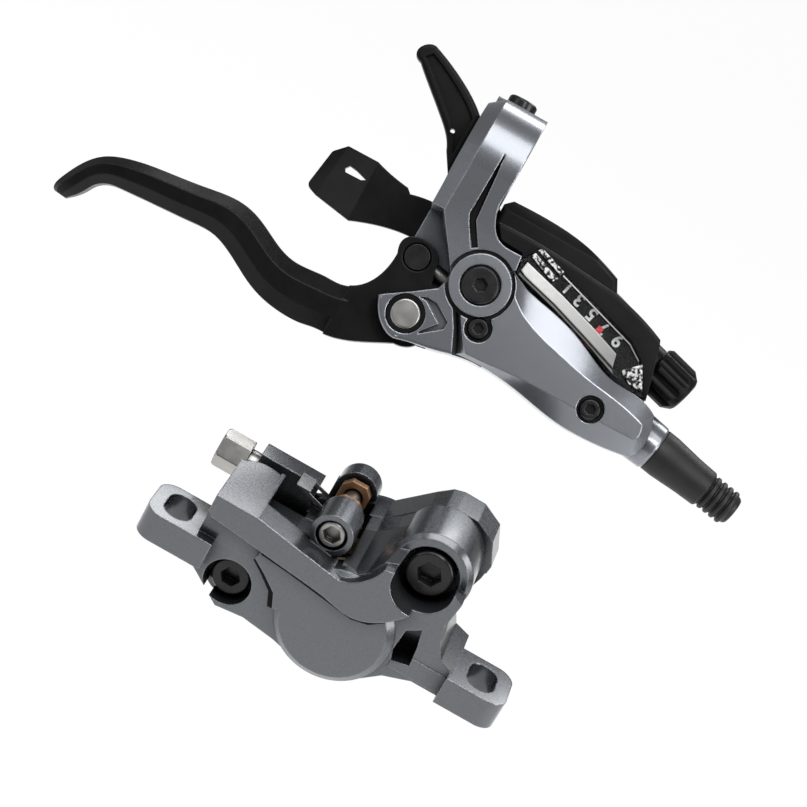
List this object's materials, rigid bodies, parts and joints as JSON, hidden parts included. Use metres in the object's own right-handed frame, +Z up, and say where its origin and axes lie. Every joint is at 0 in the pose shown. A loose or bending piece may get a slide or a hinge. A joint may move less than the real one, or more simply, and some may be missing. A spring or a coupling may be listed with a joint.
{
  "type": "hydraulic disc brake, lever with gear shifter and post-mount caliper",
  "caption": "Bicycle hydraulic disc brake: right-hand lever with master cylinder and gear shifter on one handlebar clamp, and its two-piston post-mount caliper.",
  "frame": {"origin": "handlebar axis, at the middle of the clamp's width", "axes": "+X along the handlebar, from the grip side towards the stem side; +Z up; +Y away from the viewer of the picture"},
  "size_m": [0.1769, 0.1255, 0.1035],
  "materials": {
    "silver_alloy": "metallic grey paint over cast alloy",
    "cover_alloy": "metallic grey paint, satin",
    "black_alloy": "satin black anodised",
    "caliper_alloy": "dark grey satin anodised",
    "black_steel": "black oxide",
    "bright_steel": "polished, nickel plated",
    "spring_steel": "bright spring steel",
    "backing_steel": "copper-coloured plating",
    "friction": "organic friction compound",
    "black_plastic": "satin moulded nylon",
    "clear_plastic": "clear, polished",
    "dial_black": "matt black with white numbers",
    "needle_red": "red, satin",
    "rubber": "matt black",
    "phenolic": "machined, satin",
    "brass": "bare"
  },
  "bodies": {
    "bracket": {"lever_body": "silver_alloy", "reservoir_cover": "cover_alloy", "reservoir_diaphragm": "rubber", "cover_screws": "black_steel", "lever_bleed_screw": "black_steel", "piston_return_spring": "spring_steel", "retaining_ring": "spring_steel", "pivot_pin": "bright_steel", "pivot_washer": "black_plastic", "pivot_clip": "spring_steel", "clamp_bolt": "black_steel", "gland_nut": "bright_steel", "compression_olive": "brass", "hose_boot": "rubber", "shifter_case": "black_plastic", "bracket_screw": "black_steel", "base_plate": "bright_steel", "shifter_cover": "black_plastic", "shift_axle": "bright_steel", "lever_return_springs": "spring_steel", "dial_plate": "dial_black", "display_lens": "clear_plastic", "caliper_front_half": "caliper_alloy", "caliper_rear_half": "caliper_alloy", "caliper_piston_seals": "rubber", "pad_spring": "spring_steel", "pad_axle": "bright_steel", "pad_axle_clip": "black_steel", "caliper_body_bolts": "black_steel", "caliper_port_ring": "rubber", "caliper_hose_nut": "bright_steel", "caliper_bleed_nipple": "black_steel", "bleed_nipple_cap": "rubber"},
    "blade": {"brake_lever": "black_alloy", "reach_barrel": "black_steel", "pivot_bush": "brass"},
    "piston": {"master_piston": "black_plastic", "master_piston_seals": "rubber"},
    "rod": {"push_rod": "bright_steel"},
    "thumb": {"thumb_lever": "black_plastic"},
    "release": {"release_lever": "black_alloy"},
    "pawl": {"ratchet_pawl": "bright_steel"},
    "spool": {"cable_spool": "black_plastic", "ratchet_wheel": "bright_steel"},
    "needle": {"gear_needle": "needle_red"},
    "adjuster": {"barrel_adjuster": "black_plastic"},
    "front_piston": {"caliper_piston_front": "phenolic"},
    "rear_piston": {"caliper_piston_rear": "phenolic"},
    "front_pad": {"front_pad_backing": "backing_steel", "front_pad_friction": "friction"},
    "rear_pad": {"rear_pad_backing": "backing_steel", "rear_pad_friction": "friction"}
  },
  "joints": [
    {"name": "brake_lever_pivot", "type": "hinge", "parent": "bracket", "child": "blade", "pos_m": [0.00065, -0.01754, -0.03761], "axis": [0, -0.9063, 0.4226], "range_deg": [-20, 0], "stiffness_Nm_per_rad": 0.7, "springref_deg": 6.88},
    {"name": "master_piston_slide", "type": "slide", "parent": "bracket", "child": "piston", "axis": [0.9869, -0.0683, -0.1465], "range_m": [0, 0.0046], "deforming": ["piston_return_spring"]},
    {"name": "push_rod_swing", "type": "hinge", "parent": "piston", "child": "rod", "pos_m": [0.0115, -0.01308, -0.02806], "axis": [0, -0.9063, 0.4226], "range_deg": [-6, 0]},
    {"name": "thumb_lever_pivot", "type": "hinge", "parent": "bracket", "child": "thumb", "pos_m": [0.024, 0.00958, -0.0315], "axis": [0, -0.9063, 0.4226], "range_deg": [0, 28], "stiffness_Nm_per_rad": 0.12, "springref_deg": -11.46},
    {"name": "release_lever_pivot", "type": "hinge", "parent": "bracket", "child": "release", "pos_m": [0.024, 0.0123, -0.03277], "axis": [0, -0.9063, 0.4226], "range_deg": [-12, 0], "stiffness_Nm_per_rad": 0.12, "springref_deg": 11.46},
    {"name": "pawl_pivot", "type": "hinge", "parent": "bracket", "child": "pawl", "pos_m": [0.0395, 0.00759, -0.02395], "axis": [0, -0.9063, 0.4226], "range_deg": [0, 12], "stiffness_Nm_per_rad": 0.004, "springref_deg": -5.73},
    {"name": "cable_spool_turn", "type": "hinge", "parent": "bracket", "child": "spool", "pos_m": [0.024, 0.00233, -0.02812], "axis": [0, -0.9063, 0.4226], "range_deg": [-51.5, 108]},
    {"name": "gear_needle_slide", "type": "slide", "parent": "bracket", "child": "needle", "axis": [0.9659, -0.1094, -0.2346], "range_m": [-0.01145, 0.0056]},
    {"name": "barrel_adjuster_turn", "type": "hinge", "parent": "bracket", "child": "adjuster", "pos_m": [0.0576, -0.00416, -0.02311], "axis": [0.9659, -0.1094, -0.2346], "continuous": true},
    {"name": "front_piston_slide", "type": "slide", "parent": "bracket", "child": "front_piston", "axis": [0, 1, 0], "range_m": [0, 0.0013]},
    {"name": "rear_piston_slide", "type": "slide", "parent": "bracket", "child": "rear_piston", "axis": [0, -1, 0], "range_m": [0, 0.0013]},
    {"name": "front_pad_slide", "type": "slide", "parent": "bracket", "child": "front_pad", "axis": [0, 1, 0], "range_m": [0, 0.0013], "deforming": ["pad_spring"]},
    {"name": "rear_pad_slide", "type": "slide", "parent": "bracket", "child": "rear_pad", "axis": [0, -1, 0], "range_m": [0, 0.0013]}
  ],
  "couplings": [
    {"joint": "master_piston_slide", "follows": "brake_lever_pivot", "m_per_rad": -0.012992},
    {"joint": "push_rod_swing", "follows": "brake_lever_pivot", "ratio": 0.2605},
    {"joint": "gear_needle_slide", "follows": "cable_spool_turn", "m_per_rad": -0.00602},
    {"joint": "rear_piston_slide", "follows": "front_piston_slide", "ratio": 1},
    {"joint": "front_pad_slide", "follows": "front_piston_slide", "ratio": 1},
    {"joint": "rear_pad_slide", "follows": "front_piston_slide", "ratio": 1}
  ]
}
